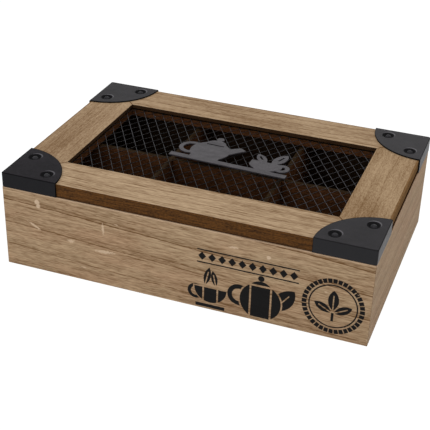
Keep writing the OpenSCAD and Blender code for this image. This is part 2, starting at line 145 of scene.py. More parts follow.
class Field:
    """A number, vector or colour that varies over a surface: one output of a node."""

    def __init__(self, nodes, socket):
        self.nodes = nodes
        self.socket = socket

    def beside(self, output):
        """Another output of the same node."""
        return Field(self.nodes, self.socket.node.outputs[output])

    def __add__(self, other):
        return self.nodes.math("ADD", self, other)

    def __sub__(self, other):
        return self.nodes.math("SUBTRACT", self, other)

    def __rsub__(self, other):
        return self.nodes.math("SUBTRACT", other, self)

    def __mul__(self, other):
        return self.nodes.math("MULTIPLY", self, other)

    def __truediv__(self, other):
        return self.nodes.math("DIVIDE", self, other)

    def __rtruediv__(self, other):
        return self.nodes.math("DIVIDE", other, self)

    def __abs__(self):
        return self.nodes.math("ABSOLUTE", self)

    def __neg__(self):
        return self.nodes.math("MULTIPLY", self, -1)

    __radd__ = __add__
    __rmul__ = __mul__


SOCKETS = {"base_color": "Base Color", "roughness": "Roughness", "metallic": "Metallic",
           "gloss": "Specular IOR Level", "normal": "Normal"}


class Nodes:
    """The nodes of a material or of the world."""

    def __init__(self, tree):
        self.tree = tree

    def node(self, kind, settings, sockets, output=0):
        """A new node: first its settings, then a value or a field for each of its sockets."""
        node = self.tree.nodes.new(kind)
        for name, value in settings.items():
            setattr(node, name, value)
        for socket, value in sockets.items():
            self.plug(node.inputs[socket], value)
        return Field(self, node.outputs[output])

    def plug(self, socket, value):
        if isinstance(value, Field):
            self.tree.links.new(value.socket, socket)
        else:
            socket.default_value = value

    def math(self, operation, *values):
        return self.node("ShaderNodeMath", {"operation": operation}, dict(enumerate(values)))

    def least(self, first, *others):
        for other in others:
            first = self.math("MINIMUM", first, other)
        return first

    def most(self, first, *others):
        for other in others:
            first = self.math("MAXIMUM", first, other)
        return first

    def rise(self, value, start, end):
        """0 below start and 1 above end, with a smooth climb between; start may be above end."""
        low, high = sorted((start, end))
        bottom, top = (0, 1) if start < end else (1, 0)
        return self.node("ShaderNodeMapRange", {"interpolation_type": "SMOOTHSTEP"},
                         {0: value, 1: low, 2: high, 3: bottom, 4: top})

    def rays(self, *kinds):
        """1 for light rays of any of these kinds."""
        path = self.node("ShaderNodeLightPath", {}, {})
        return self.most(*(path.beside(kind) for kind in kinds))

    def axes(self, vector):
        split = self.node("ShaderNodeSeparateXYZ", {}, {0: vector})
        return [split.beside(axis) for axis in "XYZ"]

    def vector(self, x, y, z):
        return self.node("ShaderNodeCombineXYZ", {}, {0: x, 1: y, 2: z})

    def scaled(self, vector, factor):
        return self.node("ShaderNodeVectorMath", {"operation": "SCALE"}, {0: vector, "Scale": factor})

    def noise(self, at, detail=2.0, roughness=0.5):
        return self.node("ShaderNodeTexNoise", {},
                         {"Vector": at, "Scale": 1.0, "Detail": detail, "Roughness": roughness})

    def mix(self, share, first, second, blend="MIX"):
        """Colours: first where share is 0 and second where it is 1."""
        return self.node("ShaderNodeMix", {"data_type": "RGBA", "blend_type": blend},
                         {0: share, 6: opaque(first), 7: opaque(second)}, 2)

    def bump(self, height, depth):
        """A surface relief; depth is how far a height of 1 stands up."""
        return self.node("ShaderNodeBump", {}, {"Distance": depth, "Height": height})


class Paint(Nodes):
    """One material's nodes, which end in its Principled shader."""

    def __init__(self, name):
        self.material = bpy.data.materials.new(name)
        self.material.use_nodes = True
        super().__init__(self.material.node_tree)
        self.shader = self.tree.nodes["Principled BSDF"]
        self.where = self.node("ShaderNodeTexCoord", {}, {}, "Object")
        self.facing = self.where.beside("Normal")

    def painted_matt_shade(self, share, colour):
        """Gives the finish a matt colour where share is 1; used as painted shade in the brackets'
        dimples.
        """
        matt = self.node("ShaderNodeBsdfPrincipled", {},
                         {"Base Color": opaque(colour), "Roughness": 1.0, "Specular IOR Level": 0.0})
        self.cover(share, matt)

    def cover(self, share, shader):
        """Lays another shader over the finish."""
        mixed = self.node("ShaderNodeMixShader", {},
                          {0: share, 1: Field(self, self.shader.outputs[0]), 2: shader})
        self.plug(self.tree.nodes["Material Output"].inputs["Surface"], mixed)

    def finish(self, **looks):
        """Plugs each look into the shader's socket of that name."""
        for look, value in looks.items():
            self.plug(self.shader.inputs[SOCKETS[look]], opaque(value))
        return self.material


def opaque(value):
    """A bare colour with its alpha added; anything else as it is."""
    return (*value, 1) if isinstance(value, tuple) and len(value) == 3 else value


def srgb(red, green, blue):
    """A screen colour from 0 to 255 as linear light."""
    def linear(level):
        level /= 255
        return level / 12.92 if level <= 0.04045 else ((level + 0.055) / 1.055) ** 2.4
    return linear(red), linear(green), linear(blue)


PALE_WOOD = srgb(194, 167, 134)
WARM_WOOD = srgb(192, 158, 126)
LINE_WOOD = srgb(102, 70, 36)
NICK_WOOD = srgb(216, 190, 161)
RIM_WOOD = srgb(226, 196, 168)
EDGE_STAIN = srgb(105, 66, 25), srgb(45, 25, 4)  # pale and dark
SIDE_EDGE_STAIN = srgb(136, 104, 70), srgb(100, 73, 45)
FRONT_EDGE = EDGE_STAIN, 0.0, 1.0, 0.3  # stain, crept, height of the foot's painted shade, its depth
SIDE_EDGE = SIDE_EDGE_STAIN, 0.9, 1.0, 0.3
RIGHT_EDGE = SIDE_EDGE_STAIN, 1.3, 2.4, 1.0
# painted shade on the walls' rim under the lid
UNDER_LID_SHADE = srgb(78, 42, 14)
WINDOW_EDGE_STAIN = srgb(65, 43, 22), srgb(40, 23, 10)
FOOT_SHADE = srgb(30, 20, 11)
# dark stain inside the walls, made darker still as painted shade
INSIDE_STAIN_AND_SHADE = srgb(58, 40, 22), srgb(28, 19, 10)
# stain on the sides, made lighter as painted light, and on top, made darker as painted shade
DIVIDER_STAIN = srgb(104, 66, 40), srgb(60, 37, 21)
TOP_STAIN_AND_SHADE = srgb(56, 42, 26), srgb(30, 21, 11)
INK = srgb(10, 9, 9)
# painted light: the brackets' front-facing flanges are painted lighter
LIT_FLANGE_GREY = srgb(37, 37, 39)
# painted shade for the brackets' dimples, folds and cut edge
DIMPLE_SHADE_BLACK = srgb(26, 26, 27)
SHADE_BLACK = srgb(4, 4, 4)
# painted highlight on the rim behind each bracket dimple
HIGHLIGHT_GREY = srgb(105, 103, 107)
NAIL_BLACK = srgb(25, 24, 27)
BADGE_GREY = srgb(49, 46, 49)
# one finish for both wire directions: one painted darker as shade, the other lighter as light
SHADED_WIRE = srgb(37, 35, 36), srgb(48, 46, 48)  # at its left and at its right
LIT_WIRE = srgb(80, 79, 83), srgb(71, 70, 74)
ZINC = srgb(185, 185, 188)
WHITE = (1, 1, 1)
PAPER = (0.85, 0.85, 0.85)
PLUGS = (-95.9, 49.9, 1.8), (-95.3, 47.3, 1.4), (56.7, 46.2, 1.3)  # x, z, radius, in millimetres
SCARS = ((-50.6, 40.8, 7.5, 1.7, 92), (-50, 24.4, 14, 2.2, 4), (-73.2, 26.9, 5, 2.4, 0),
         (-98.5, 32.3, 9, 1.8, -28), (35, 48, 7, 1.4, 5))  # x, z, length, width, turn


class Grain:
    """The grain of one board, in millimetres along it, across it and into it."""

    def __init__(self, paint, direction, face, seed):
        millimetres = paint.scaled(paint.where, 1 / MM)
        by_name = dict(zip("XYZ", paint.axes(millimetres)))
        across = next(axis for axis in "XYZ" if axis not in (direction, face))
        self.paint = paint
        self.along, self.across, self.inward = by_name[direction], by_name[across], by_name[face]
        self.seed = seed

    def stretched(self, length, width):
        """Noise coordinates with spots of the given length along the grain and width across it."""
        return self.paint.vector(self.along / length + self.seed, self.across / width,
                                 self.inward / width)

    def spots(self, length, width, detail=2.0):
        """Noise from -1 to 1 in spots of that size."""
        return (self.paint.noise(self.stretched(length, width), detail, 0.6) - 0.5) * 2

    def rings(self, gap, sway, lean, first):
        """Growth rings: each darkens slowly across the board and ends in a thin, broken line."""
        paint = self.paint
        wander = self.spots(90, 40, 1.0) * sway + self.spots(5, 3, 1.0) * 0.35
        ring = (self.along * lean + wander + first - self.across) / gap
        number = paint.math("FLOOR", ring)
        place = ring - number
        strength = paint.node("ShaderNodeTexWhiteNoise", {"noise_dimensions": "1D"},
                              {"W": number + self.seed})
        broken = paint.rise(self.spots(16, 3) + self.spots(2.0, 1.5) * 0.9, -0.9, 0.2)
        line = paint.rise(place, 1 - RING_LINE / gap, 1 - RING_LINE / gap * 0.4) * broken
        shade = paint.rise(place, 0.5, 1.0) * 0.3
        end = paint.rise(place, 1.0, 1 - RING_LINE / gap * 0.35)
        return (line + shade) * end * (strength * (1 - STEADY) + STEADY)

    def pores(self, length, width, start, end):
        """Short dashes along the grain: 1 inside them."""
        return self.paint.rise(self.paint.noise(self.stretched(length, width), 1.0), start, end)


def wood_darkness(grain, rings, figure):
    """How dark the bare wood is, from 0 to about 1."""
    gap, sway, lean, first = rings
    depth, fibres, streaks, length = figure
    close = grain.rings(gap * 0.31, sway * 0.7, lean, first + 2.0) * grain.paint.rise(
        grain.spots(90, 22, 1.0), -0.4, 0.4)
    lines = grain.rings(gap, sway, lean, first) + close * 0.5
    fine = (grain.spots(length, 1.1, 3.0) + grain.spots(60, 1.4, 1.0) * 0.9) * fibres
    short = grain.spots(length / 3, 0.6, 1.0) * streaks
    return (lines * depth + fine + short + grain.spots(40, 8) * 0.1
            + grain.pores(3.4, 0.6, 0.6, 0.75) * 0.16 + 0.37)


def bare_wood(grain, darkness, warmth=0.0):
    paint = grain.paint
    pale = PALE_WOOD
    if warmth:
        pale = paint.mix(paint.rise(grain.spots(50, 14), -0.4, 0.5) * warmth, pale, WARM_WOOD)
    return paint.mix(paint.rise(darkness, -0.05, 1.05), pale, LINE_WOOD)


def stain_colour(grain, pale, dark):
    """Stain that lies thinner and thicker along the fibres."""
    depth = grain.paint.rise(grain.spots(14, 0.9) + grain.spots(1.6, 0.9) * 0.8, -0.7, 0.7)
    return grain.paint.mix(depth, pale, dark)


def wood_finish(paint, grain, colour, darkness, gloss=0.12):
    relief = paint.bump(darkness * 0.5 - grain.pores(3.4, 0.5, 0.6, 0.75) * 0.6, 0.06 * MM)
    return paint.finish(base_color=colour, roughness=darkness * 0.15 + 0.6, gloss=gloss,
                        normal=relief)


def wall_wood(name, direction, seed, figure=BOARD_FIGURE, printed=False, tone=0.0, shade_spread=0.0):
    """Bare wood outside and on the rim, dark stain inside, darkened further as painted shade, and
    painted shade on the rim under the lid.

    On the rim the painted shade reaches out that many millimetres from under the lid.
    """
    paint = Paint(name)
    grain = Grain(paint, direction, "Y" if direction == "X" else "X", seed)
    darkness = wood_darkness(grain, WALL_RINGS, figure) + tone
    colour = bare_wood(grain, darkness, 0.8)
    colour = paint.mix(nicks(paint, grain), colour, NICK_WOOD)
    x, y, z = paint.axes(paint.where)
    reach = paint.most(abs(x) - inner_x, abs(y) - inner_y)
    rim = paint.rise(z + grain.spots(7, 3) * 0.3 * MM, wall_top - 0.9 * MM, wall_top - 0.4 * MM)
    from_lid_edge = paint.least(*in_from_lid_edges(paint))
    # painted shade on the rim where the lid shades it
    under_lid_shade = rim * paint.rise(from_lid_edge, -0.1 - shade_spread, 0.3 - shade_spread)
    inside = paint.rise(reach, 0.4 * MM, 0.2 * MM)
    colour = paint.mix(rim * 0.35, colour, RIM_WOOD)
    colour = paint.mix(under_lid_shade, colour, UNDER_LID_SHADE)
    # dark stain and painted shade on the walls' inside
    colour = paint.mix(inside, colour, stain_colour(grain, *INSIDE_STAIN_AND_SHADE))
    if printed:
        plane = paint.vector(x / MM, z / MM, 0)
        outside = paint.rise(-y, inner_y + 2 * MM, inner_y + 3 * MM)
        colour = paint.mix(marks(paint, plane, grain) * outside, colour, NICK_WOOD)
        colour = paint.mix(front_print(paint, plane, grain) * outside, colour, INK)
    return wood_finish(paint, grain, colour, darkness)


def nicks(paint, grain):
    """Pale nicks, few and far between."""
    scattered = paint.node("ShaderNodeTexVoronoi", {},
                           {"Vector": grain.stretched(30, 11), "Scale": 1.0}, "Distance")
    torn = paint.noise(grain.stretched(3.0, 1.2), 2.0) * 0.10
    return paint.rise(scattered + torn, 0.115, 0.085) * 0.6


def marks(paint, plane, grain):
    """The front's filled holes and scars, pale and with torn edges."""
    stencil = Stencil(paint)
    plugs = paint.least(*(stencil.disc(plane, *plug) for plug in PLUGS))
    scars = paint.least(*(stencil.oval(plane, *scar) for scar in SCARS))
    filled = paint.rise(plugs + grain.spots(2.0, 1.5) * 0.7, 0.4, -0.4) * 0.8
    torn = paint.rise(scars + grain.spots(1.6, 0.8) * 1.1, 0.2, -0.4) * 0.75
    return paint.most(filled, torn)


def in_from_lid_edges(paint, shift=Vector((0, 0, 0))):
    """How far a point lies in from the lid's nearer side and from its nearer end, in millimetres."""
    half = (lid_back_right - lid_front_left) / 2
    middle = (lid_back_right + lid_front_left) / 2 + shift * MM
    x, y, _ = paint.axes(paint.where)
    return (half.x - abs(x - middle.x)) / MM, (half.y - abs(y - middle.y)) / MM


def veneer(name, direction, seed, tone, figure, edge, gloss=0.12):
    """Pale veneer on a rail's upper face, dark at its mitres, and stained edges and underside.

    Edge is the outer edge's stain, how many millimetres it has crept onto the upper face, how high
    the edge's foot is darkened as painted shade, and how much.
    """
    stain, crept, foot_height, foot = edge
    paint = Paint(name)
    grain = Grain(paint, direction, "Z", seed)
    from_side, from_end = in_from_lid_edges(paint)
    mitre = paint.rise(abs(from_side - from_end), *MITRE_LINE)
    darkness = wood_darkness(grain, RAIL_RINGS, figure)
    darkness = darkness + mitre * 0.6 + grain.spots(60, 25, 1.0) * 0.25 + tone
    inner_edge = paint.rise(paint.least(from_side, from_end), RAIL_MIDDLE, RAIL_MIDDLE + 1)
    up = paint.axes(paint.facing)[2]
    height = paint.axes(paint.where)[2] / MM - RAIL_BOTTOM
    # painted shade along the foot of the edge, where the lid meets the box
    foot_shade = paint.rise(height + grain.spots(9, 3) * 0.3, foot_height, foot_height * 0.6)
    foot_shade = foot_shade * paint.rise(abs(up), 0.8, 0.4) * foot
    edge_colour = paint.mix(foot_shade, stain_colour(grain, *stain), FOOT_SHADE)
    edge_colour = paint.mix(inner_edge, edge_colour, stain_colour(grain, *WINDOW_EDGE_STAIN))
    stained = paint.rise(up + grain.spots(4, 0.6) * 0.08, 0.75, 0.45)
    if crept:
        edge_distance = paint.least(from_side, from_end) + grain.spots(7, 2) * 0.3
        stained = paint.most(stained, paint.rise(edge_distance, crept, crept * 0.7))
    colour = paint.mix(stained, bare_wood(grain, darkness), edge_colour)
    return wood_finish(paint, grain, colour, darkness, gloss)


def stained_wood(name, direction, face, seed):
    """Stained on every side, with lighter sides and darker tops as painted light and shade."""
    paint = Paint(name)
    grain = Grain(paint, direction, face, seed)
    darkness = wood_darkness(grain, INSIDE_RINGS, INSIDE_FIGURE)
    # painted shade: upward faces darker
    top = paint.rise(paint.axes(paint.facing)[2], 0.45, 0.75)
    colour = paint.mix(top, stain_colour(grain, *DIVIDER_STAIN), stain_colour(grain, *TOP_STAIN_AND_SHADE))
    return wood_finish(paint, grain, colour, darkness, gloss=0.02)


class SatinPaint(Paint):
    """Paint over pressed sheet steel, with soft waves and a fine grit."""

    def __init__(self, name, colour, roughness, waviness, gloss, dents=0.0):
        super().__init__(name)
        waves = self.noise(self.scaled(self.where, 1 / (9 * MM)), 1.0)
        grit = self.noise(self.scaled(self.where, 1 / (0.35 * MM)), 2.0)
        self.dust = self.noise(self.scaled(self.where, 1 / (2.2 * MM)), 3.0)
        self.shade = self.mix(self.rise(self.dust * 0.6 + waves * 0.4, 0.35, 0.65), colour,
                              tuple(level * 1.8 for level in colour))
        self.roughness = self.dust * 0.18 + (roughness - 0.09)
        relief = waves * waviness + self.dust * dents + grit * 0.02
        self.looks = {"gloss": gloss, "normal": self.bump(relief, 1.0 * MM)}

    def painted(self):
        return self.finish(base_color=self.shade, roughness=self.roughness, **self.looks)


def bracket_black(name, level, gloss):
    """Black satin paint with painted shade, matt and black, in the dimples, along the folds and the
    cut edge; a painted highlight behind each dimple, and lighter front flanges as painted light.
    """
    black = srgb(level + 1, level - 1, level + 2)
    paint = SatinPaint(name, black, roughness=0.42, waviness=0.14, gloss=gloss)
    from_side, from_end = in_from_lid_edges(paint)
    plane = paint.vector(from_side, from_end, 0)
    stencil = Stencil(paint)
    dimples = stencil.dimples(plane)
    # a painted highlight on the far rim of each dimple
    behind = paint.vector(*in_from_lid_edges(paint, HIGHLIGHT_SHIFT), 0)
    painted_highlight = paint.rise(stencil.dimples(behind), 0.3, -0.3) * paint.rise(dimples, -0.1, 0.3)
    before = paint.vector(*in_from_lid_edges(paint, SHADE_SHIFT), 0)
    # painted shade in each dimple and on its near side
    dimple_shade = paint.rise(paint.least(dimples, stencil.dimples(before)), 0.2, -0.6) * 0.85
    reach = (bracket_highest.x - bracket_lowest.x) / MM
    overhang = (lid_front_left.x - bracket_lowest.x) / MM
    # painted shade along the plate's cut arc edge and in the folds
    cut_edge = paint.rise(stencil.disc(plane, -overhang, -overhang, reach), -0.35, -0.1)
    _, depth, up = paint.axes(paint.facing)
    at_edge = paint.rise(paint.least(from_side, from_end), 0.6, 0.2)
    fold = paint.rise(abs(up - 0.62), 0.36, 0.2) * at_edge * 0.7
    painted_shade = paint.most(dimple_shade, cut_edge, fold)
    # painted light: faces toward the front are painted lighter
    front = paint.rise(-depth, 0.6, 0.9)
    paint.shade = paint.mix(front * 0.85, paint.shade, LIT_FLANGE_GREY)
    paint.shade = paint.mix(painted_highlight * 0.7, paint.shade, HIGHLIGHT_GREY)
    paint.shade = paint.mix(painted_shade * 0.9, paint.shade, SHADE_BLACK)
    paint.roughness = paint.roughness + painted_shade * 0.4
    paint.painted_matt_shade(dimple_shade * 0.9, DIMPLE_SHADE_BLACK)
    return paint.painted()


def plated_steel(name, roughness, colour, right_colour=None):
    """Brushed metal; a wire's colour also changes toward the lid's right end, and it is darker toward
    a place in front.
    """
    paint = Paint(name)
    x, y, z = paint.axes(paint.where)
    brushed = paint.noise(paint.vector(x / (3 * MM), y / (0.2 * MM), z / (0.2 * MM)), 3.0)
    level = paint.rise(brushed, 0.3, 0.7) * 0.18 + 0.82
    if right_colour:
        to_the_right = paint.rise(x, -COLOUR_CHANGE, COLOUR_CHANGE)
        colour = paint.mix(to_the_right, colour, right_colour)
        from_dimmest_place = Stencil(paint).disc(paint.vector(x / MM, y / MM, 0), *DIMMEST_WIRES)
        bright = paint.rise(from_dimmest_place, 0, DIMMING_REACH)
        level = level * (bright * (1 - DIMMEST_LEVEL) + DIMMEST_LEVEL)
    shade = paint.mix(1.0, colour, paint.vector(level, level, level), "MULTIPLY")
    return paint.finish(base_color=shade, metallic=1.0, roughness=brushed * 0.2 + (roughness - 0.1),
                        normal=paint.bump(brushed, 0.02 * MM))


def front_print(paint, plane, grain):
    """The black print in worn ink: a cup and a pot under a band of lozenges, and a round seal."""
    stencil = Stencil(paint)
    shapes = paint.least(stencil.cup(stencil.at(plane, *CUP_PLACE)),
                         stencil.pot(stencil.at(plane, *POT_PLACE)),
                         stencil.band(stencil.at(plane, *BAND_PLACE)),
                         stencil.seal(stencil.at(plane, *SEAL_PLACE)))
    shapes = shapes + grain.spots(2.5, 0.6) * 0.18
    to_the_right = paint.rise(paint.axes(plane)[0], 88, 120)
    flaked = grain.spots(2.6, 1.6, 3.0) * 0.8 + grain.spots(12, 9) * 0.5 + to_the_right * 0.55
    return paint.rise(shapes, 0.14, -0.14) * paint.rise(flaked, 0.95, 0.8)


class Stencil:
    """Flat shapes as distances to their outline, in millimetres: below zero inside."""

    def __init__(self, paint):
        self.paint = paint

    def at(self, plane, x, y, turn=0):
        """The plane's coordinates as a shape at (x, y), turned by degrees, sees them."""
        return self.paint.node("ShaderNodeMapping", {"vector_type": "TEXTURE"},
                               {"Vector": plane, "Location": (x, y, 0),
                                "Rotation": (0, 0, math.radians(turn))})

    def disc(self, plane, x, y, radius):
        return self.paint.node("ShaderNodeVectorMath", {"operation": "DISTANCE"},
                               {0: plane, 1: (x, y, 0)}, "Value") - radius

    def dimples(self, plane):
        """A bracket's two dimples, on a plane of distances in from the lid's edges."""
        return self.paint.least(self.disc(plane, NAIL_NEAR, NAIL_FAR, DIMPLE_R),
                                self.disc(plane, NAIL_FAR, NAIL_NEAR, DIMPLE_R))

    def ring(self, plane, x, y, radius, width):
        return abs(self.disc(plane, x, y, radius)) - width / 2

    def oval(self, plane, x, y, length, width, turn):
        """An oval as -1 at its middle, 0 on its outline and more outside."""
        squashed = self.paint.node("ShaderNodeVectorMath", {"operation": "MULTIPLY"},
                                   {0: self.at(plane, x, y, turn), 1: (2 / length, 2 / width, 0)})
        return self.disc(squashed, 0, 0, 1)

    def bar(self, plane, x, y, half_width, half_height):
        across, up, _ = self.paint.axes(plane)
        return self.paint.most(abs(across - x) - half_width, abs(up - y) - half_height)

    def leaf(self, plane, x, y, length, width, turn):
        """A leaf whose root is at (x, y), with its midrib left open."""
        here = self.at(plane, x, y, turn)
        radius = (length ** 2 / 4 + width ** 2 / 4) / width
        blade = self.paint.most(self.disc(here, length / 2, radius - width / 2, radius),
                                self.disc(here, length / 2, width / 2 - radius, radius))
        return self.paint.most(blade, -self.bar(here, length * 0.35, 0, length * 0.4, 0.35))

    def pot(self, plane):
        paint = self.paint
        across, up, _ = paint.axes(plane)
        body = paint.most(self.disc(plane, 0, 0, 13.0), abs(up + 0.5) - 11.0)
        shoulder = paint.most(self.disc(plane, 0, 6.5, 8.0), 11.8 - up)
        knob = self.disc(plane, 0, 16.4, 2.0)
        spout = paint.most(self.leaf(plane, 8.0, -4.0, 21.0, 11.0, 52), -(body - 0.9))
        ear = paint.most(self.ring(plane, -13.5, 1.5, 6.0, 3.0), -(body - 0.9))
        bridges = abs(abs(across) - 6.5) - 0.55
        return paint.least(paint.most(body, -bridges), shoulder, knob, spout, ear)

    def cup(self, plane):
        paint = self.paint
        up = paint.axes(plane)[1]
        bowl = paint.most(self.disc(plane, 0, 4.5, 10.5), up - 4.5)
        ear = paint.most(self.ring(plane, -9.5, 0.5, 4.2, 2.2), -(bowl - 0.7))
        bridges = abs(abs(paint.axes(plane)[0]) - 4.6) - 0.5
        saucer = self.bar(plane, 0, -8.6, 9.5, 1.2)
        steam = paint.least(self.leaf(plane, -3.5, 6.5, 13.0, 4.4, 78),
                            self.leaf(plane, 3.5, 6.5, 11.0, 4.0, 102))
        return paint.least(paint.most(bowl, -bridges), ear, saucer, steam)

    def band(self, plane):
        """A row of lozenges between two rules."""
        paint = self.paint
        across, up, _ = paint.axes(plane)
        from_middle = abs(paint.math("FLOORED_MODULO", across, 6.4) - 3.2)
        lozenges = paint.most(from_middle * 0.75 + abs(up) * 0.65 - 1.9, abs(across) - 32)
        rules = paint.most(abs(abs(up) - 4.4) - 0.45, abs(across) - 32)
        return paint.least(lozenges, rules)

    def seal(self, plane):
        """A round stamp: a notched ring and a thin one round a sprig of three leaves."""
        paint = self.paint
        across, up, _ = paint.axes(plane)
        turned = paint.math("ARCTAN2", up, across) * (36 / math.tau)
        notches = (abs(paint.math("FRACT", turned) - 0.5) - 0.09) * 3.4
        rim = paint.most(self.ring(plane, 0, 0, 17.6, 3.0), -notches)
        rings = paint.least(rim, self.ring(plane, 0, 0, 14.6, 0.9))
        leaves = paint.least(self.leaf(plane, 0, -3.0, 14.0, 6.6, 90),
                             self.leaf(plane, 0.9, -4.5, 12.0, 5.4, 28),
                             self.leaf(plane, -0.9, -4.5, 12.0, 5.4, 152))
        return paint.least(rings, leaves, self.bar(plane, 0, -7.5, 0.8, 3.0))


# Pieces

def keep_node(name, material, ease=0.0, smooth=False):
    """Dresses a CAD piece in its material, with its edges eased by modifiers."""
    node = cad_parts[name]
    node.data.materials.clear()
    node.data.materials.append(material)
    weld = node.modifiers.new("joined corners", "WELD")
    weld.merge_threshold = SAME_POINT
    if ease:
        flat = node.modifiers.new("whole faces", "DECIMATE")
        flat.decimate_type = "DISSOLVE"
        flat.angle_limit = FLAT_ANGLE
        bevel = node.modifiers.new("eased edges", "BEVEL")
        bevel.width = ease
        bevel.segments = 3
        bevel.limit_method = "ANGLE"
        bevel.angle_limit = EASED_ANGLE
    if smooth:
        node.data.shade_smooth()
        split = node.modifiers.new("crisp edges", "EDGE_SPLIT")
        split.split_angle = SPLIT_ANGLE
    return node


def finished_piece(name, mesh, material, body, replaced=()):
    """Makes an object of a bmesh, smooth but for its crisp edges, and rides it on its body."""
    bmesh.ops.recalc_face_normals(mesh, faces=mesh.faces)
    data = bpy.data.meshes.new(name)
    mesh.to_mesh(data)
    mesh.free()
    data.shade_smooth()
    data.set_sharp_from_angle(angle=CRISP_ANGLE)
    piece = bpy.data.objects.new(name, data)
    piece.modifiers.new("even shading", "WEIGHTED_NORMAL").keep_sharp = True
    return placed(piece, material, body, replaced)


def placed(piece, material, body, replaced=()):
    piece.data.materials.append(material)
    bpy.context.scene.collection.objects.link(piece)
    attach(piece, body)
    if replaced:
        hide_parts(*replaced)
    return piece


def copied_solid(node, cuts=()):
    """A CAD node's solid as a bmesh with whole faces, parted only by the cuts: points and normals."""
    mesh = bmesh.new()
    mesh.from_mesh(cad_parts[node].data)
    bmesh.ops.remove_doubles(mesh, verts=mesh.verts, dist=SAME_POINT)
    for point, normal in cuts:
        everything = [*mesh.verts, *mesh.edges, *mesh.faces]
        cut = bmesh.ops.bisect_plane(mesh, geom=everything, dist=SAME_POINT, plane_co=point,
                                     plane_no=normal)
        for edge in cut["geom_cut"]:
            if isinstance(edge, bmesh.types.BMEdge):
                edge.seam = True
    bmesh.ops.dissolve_limit(mesh, angle_limit=FLAT_ANGLE, verts=mesh.verts,
                             edges=mesh.edges, delimit={"SEAM"})
    return mesh


def round_edges(mesh, edges, radius, segments):
    bmesh.ops.bevel(mesh, geom=list(edges), offset=radius, offset_type="OFFSET", segments=segments,
                    profile=0.5, affect="EDGES", clamp_overlap=True, material=-1)


def sharp_edges(mesh, angle=EASED_ANGLE):
    return [edge for edge in mesh.edges if edge.is_manifold and edge.calc_face_angle() > angle]


def make_bracket(node, right, back, material):
    """A pressed corner bracket with rounded folds and soft dimples."""
    lowest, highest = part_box(node)
    outer = Vector((highest.x if right > 0 else lowest.x, highest.y if back > 0 else lowest.y, 0))
    reach = highest.x - lowest.x
    nail = outer - Vector((right, back, 0)) * (NAIL_NEAR * MM + lid_front_left.x - bracket_lowest.x)
    mesh = copied_solid(node, [(nail, (1, 0, 0)), (nail, (0, 1, 0))])

    def on_fold(vert):
        to_outer = min(abs(vert.co.x - outer.x), abs(vert.co.y - outer.y))
        from_corner = Vector((abs(vert.co.x - outer.x), abs(vert.co.y - outer.y)))
        near_corner = max(from_corner) < FOLD_WIDTH
        return vert.co.z > highest.z - TOUCHING and (to_outer < TOUCHING or near_corner)

    folds = [edge for edge in sharp_edges(mesh) if all(map(on_fold, edge.verts))]
    round_edges(mesh, folds, FOLD_R, segments=5)
    rims = [edge for edge in sharp_edges(mesh, RIM_ANGLE)
            if is_dimple_rim(edge, highest.z, outer, reach)]
    round_edges(mesh, rims, DIMPLE_RIM_R, segments=4)
    round_edges(mesh, sharp_edges(mesh), SHEET_EDGE_R, segments=2)
    return finished_piece("pressed_" + node, mesh, material, "lid", [node])


def is_dimple_rim(edge, top, outer, reach):
    """True for the edges where a dimple meets the bracket's top."""
    for vert in edge.verts:
        in_from_edges = [abs(vert.co.x - outer.x), abs(vert.co.y - outer.y)]
        on_arc = Vector(in_from_edges).length > reach - ARC_MARGIN
        if vert.co.z < top - TOUCHING or min(in_from_edges) < FLAT_MARGIN or on_arc:
            return False
    return True


def span_across(offset, normal, direction, half):
    """Where a wire enters and leaves the mesh's rectangle, along its own direction."""
    spans = [sorted(((-h - offset * n) / d, (h - offset * n) / d))
             for h, n, d in zip(half, normal, direction)]
    return max(s[0] for s in spans), min(s[1] for s in spans)


def crossings(start, end, shift, step, first_over):
    """Where a wire crosses the other direction's, and 1 where it passes over or -1 under."""
    first = math.ceil((start + shift) / step)
    last = math.floor((end + shift) / step)
    places = [(number * step - shift, 1 if (number + first_over) % 2 else -1)
              for number in range(first, last + 1)]
    return [place for place in places if start + MM < place[0] < end - MM]


def weave(name, node, other_node, angle, first_over, material):
    """One direction of the woven mesh: wires that pass over and under the other direction's."""
    lowest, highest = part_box(node)
    other_lowest, other_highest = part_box(other_node)
    middle = (lowest + highest) / 2
    half = (highest - lowest) / 2
    level = (min(lowest.z, other_lowest.z) + max(highest.z, other_highest.z)) / 2
    lift = WIRE_R * WIRE_CRIMP
    direction = Vector((math.cos(angle), math.sin(angle)))
    normal = Vector((-math.sin(angle), math.cos(angle)))
    step = WIRE_PITCH / abs(math.sin(2 * angle))
    lean = 1 / math.tan(2 * angle)
    curve = bpy.data.curves.new(name, "CURVE")
    curve.dimensions = "3D"
    curve.bevel_depth = WIRE_R
    curve.bevel_resolution = 1
    curve.use_fill_caps = True
    curve.resolution_u = 4
    count = math.ceil(half.xy.length / WIRE_PITCH)
    for wire in range(-count, count + 1):
        offset = wire * WIRE_PITCH
        start, end = span_across(offset, normal, direction, half.xy)
        if end - start < SHORTEST_WIRE:
            continue
        crossed = crossings(start, end, offset * lean, step, wire + first_over)
        stops = [(start, 0), *crossed, (end, 0)]
        spline = curve.splines.new("BEZIER")
        spline.bezier_points.add(len(stops) - 1)
        for point, (along, side) in zip(spline.bezier_points, stops):
            at = middle.xy + normal * offset + direction * along
            point.co = (at.x, at.y, level + lift * side)
            point.handle_left_type = point.handle_right_type = "AUTO"
    return placed(bpy.data.objects.new(name, curve), material, "lid", [node])


# Room

